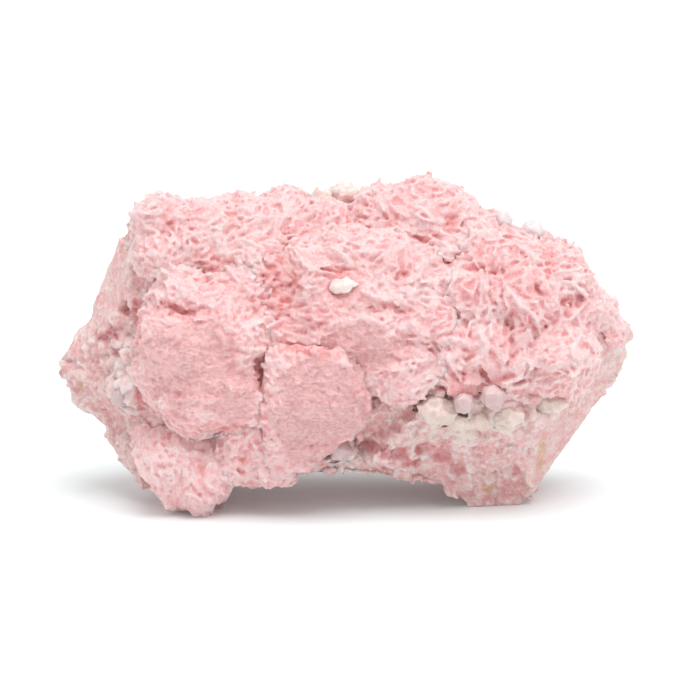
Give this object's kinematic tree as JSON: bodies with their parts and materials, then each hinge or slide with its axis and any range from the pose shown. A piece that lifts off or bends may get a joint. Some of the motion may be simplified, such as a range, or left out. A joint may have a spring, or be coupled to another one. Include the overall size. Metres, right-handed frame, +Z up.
{
  "type": "rhodochrosite specimen",
  "caption": "Pink bladed rhodochrosite mounds and small milky quartz crystals on a broken block of pink host rock that stands on flat feet.",
  "frame": {"origin": "middle of the specimen's footprint, on the surface it stands on", "axes": "+X along its length, to the right seen from the crystal side; -Y is the crystal side; +Z up"},
  "size_m": [0.099, 0.0422, 0.0563],
  "materials": {
    "host_rock": "rough broken pink rock, granular, with cream, glassy and ochre patches",
    "bladed_rhodochrosite": "satin pink crystal blades, paler along their edges",
    "fibrous_rhodochrosite": "fine fibrous pink crystal faces with a satin sheen",
    "milky_quartz": "milky translucent quartz"
  },
  "bodies": {
    "root": {"centre_mound": "bladed_rhodochrosite", "centre_plate": "fibrous_rhodochrosite", "host_rock": "host_rock", "left_foot": "bladed_rhodochrosite", "left_lobe": "bladed_rhodochrosite", "left_ridge": "bladed_rhodochrosite", "low_crust": "bladed_rhodochrosite", "quartz_block_right": "milky_quartz", "quartz_chip": "milky_quartz", "quartz_cream_left": "milky_quartz", "quartz_cream_right": "milky_quartz", "quartz_ledge_left": "milky_quartz", "quartz_ledge_right": "milky_quartz", "quartz_left": "milky_quartz", "quartz_low": "milky_quartz", "quartz_top_far_right": "milky_quartz", "quartz_top_left": "milky_quartz", "quartz_top_middle": "milky_quartz", "quartz_top_right": "milky_quartz", "right_crust": "bladed_rhodochrosite", "right_mound": "bladed_rhodochrosite", "top_dome": "bladed_rhodochrosite"}
  },
  "joints": []
}
